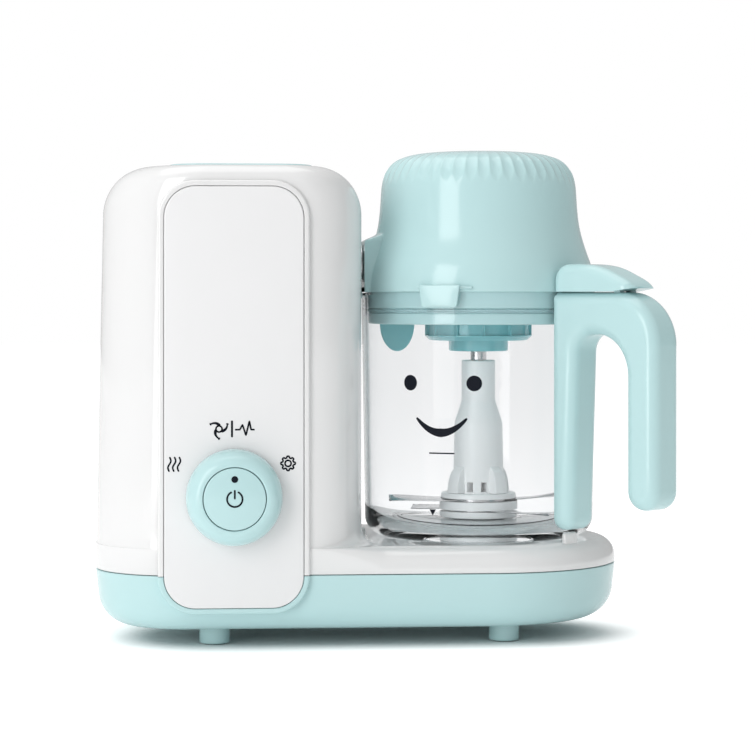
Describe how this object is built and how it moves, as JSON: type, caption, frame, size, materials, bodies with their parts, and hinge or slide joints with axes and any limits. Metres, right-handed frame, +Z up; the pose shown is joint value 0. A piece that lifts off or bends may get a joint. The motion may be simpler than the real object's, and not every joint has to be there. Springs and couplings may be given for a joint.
{
  "type": "baby food maker",
  "caption": "Countertop steamer and blender for baby food: tower with water tank and dial, clear handled jar with blades, lift-off motor head.",
  "frame": {"origin": "on the surface it stands on, under the centre of the whole object's box", "axes": "+Z up, -Y front, +X from the tower towards the jar"},
  "size_m": [0.3057, 0.1882, 0.2675],
  "materials": {
    "shell_teal": "moulded plastic, soft gloss, pale aqua",
    "body_white": "moulded plastic, high gloss white",
    "panel_white": "satin white panel with printed signs",
    "jar_clear": "clear moulded copolyester",
    "steel": "brushed stainless steel",
    "rubber_dark": "dark rubber",
    "silicone": "pale aqua silicone",
    "tank_clear": "milky plastic",
    "inner_white": "matt off-white plastic",
    "aluminium": "cast aluminium",
    "copper": "enamelled copper windings",
    "brass": "turned brass",
    "board_green": "circuit board",
    "magnet_dark": "ferrite",
    "print_dark": "dark printed marks on the panel, dial and jar"
  },
  "bodies": {
    "base": {"base_shell": "shell_teal", "upper_housing": "body_white", "front_panel": "panel_white", "feet": "shell_teal", "foot_pads": "rubber_dark", "base_screws": "steel", "cord_gland": "rubber_dark", "selector_switch": "inner_white", "control_board": "board_green", "water_tank": "tank_clear", "tank_lid_pins": "steel", "boiler": "aluminium", "boiler_heater": "steel", "thermostat": "brass", "boiler_bracket": "inner_white", "water_tube": "silicone", "steam_tube": "silicone", "steam_nozzle": "steel", "contact_block": "shell_teal", "contact_strips": "steel"},
    "dial": {"dial_ring": "shell_teal", "selector_shaft": "steel", "power_spring": "steel"},
    "power_key": {"power_button": "shell_teal", "power_stem": "steel"},
    "tank_cover": {"tank_lid": "shell_teal", "tank_lid_seal": "silicone"},
    "jar_unit": {"jar": "jar_clear", "pivot_pin": "steel", "thrust_washer": "rubber_dark", "handle_grip": "shell_teal", "handle_shell": "shell_teal", "latch_pin": "steel"},
    "latch": {"thumb_latch": "shell_teal"},
    "blade_unit": {"blade_bush": "brass", "blade_base": "inner_white", "lower_blades": "steel", "blade_spacer": "inner_white", "upper_blades": "steel", "blade_post": "inner_white"},
    "lid_unit": {"jar_lid": "shell_teal", "lid_gasket": "silicone", "lid_hub": "shell_teal", "spindle_bush": "brass", "steam_deflector": "shell_teal"},
    "spindle": {"lid_spindle": "steel"},
    "head": {"head_shell": "shell_teal", "steam_seal": "silicone", "steam_elbow": "silicone", "head_plate": "shell_teal", "motor_mount": "inner_white", "motor_screws": "steel", "motor_can": "steel", "motor_magnets": "magnet_dark", "motor_bearings": "brass", "head_catch": "shell_teal", "catch_mount": "shell_teal"},
    "rotor": {"motor_armature": "copper", "motor_shaft": "steel", "drive_coupling": "inner_white"}
  },
  "joints": [
    {"name": "dial_turn", "type": "hinge", "parent": "base", "child": "dial", "pos_m": [-0.07916, -0.06835, 0.0818], "axis": [0, -1, 0], "range_deg": [-60, 60]},
    {"name": "power_press", "type": "slide", "parent": "dial", "child": "power_key", "axis": [0, 1, 0], "range_m": [0, 0.0015], "stiffness_N_per_m": 300},
    {"name": "tank_lid_hinge", "type": "hinge", "parent": "base", "child": "tank_cover", "pos_m": [-0.07386, 0.07335, 0.2594], "axis": [-1, 0, 0], "range_deg": [0, 95]},
    {"name": "jar_lift", "type": "slide", "parent": "base", "child": "jar_unit", "axis": [0, 0, 1], "range_m": [0, 0.15]},
    {"name": "lid_lift", "type": "slide", "parent": "jar_unit", "child": "lid_unit", "axis": [0, 0, 1], "range_m": [0, 0.12]},
    {"name": "head_lift", "type": "slide", "parent": "lid_unit", "child": "head", "axis": [0, 0, 1], "range_m": [0, 0.08]},
    {"name": "latch_flip", "type": "hinge", "parent": "jar_unit", "child": "latch", "pos_m": [0.12803, -0.0677, 0.1922], "axis": [0.7547, 0.6561, 0], "range_deg": [0, 10]},
    {"name": "motor_spin", "type": "hinge", "parent": "head", "child": "rotor", "pos_m": [0.05914, 0.01155, 0.228], "axis": [0, 0, 1], "continuous": true},
    {"name": "spindle_spin", "type": "hinge", "parent": "lid_unit", "child": "spindle", "pos_m": [0.05914, 0.01155, 0.17], "axis": [0, 0, 1], "continuous": true},
    {"name": "blade_spin", "type": "hinge", "parent": "jar_unit", "child": "blade_unit", "pos_m": [0.05914, 0.01155, 0.07], "axis": [0, 0, 1], "continuous": true}
  ],
  "couplings": [
    {"joint": "spindle_spin", "follows": "motor_spin", "ratio": 1},
    {"joint": "blade_spin", "follows": "motor_spin", "ratio": 1}
  ]
}
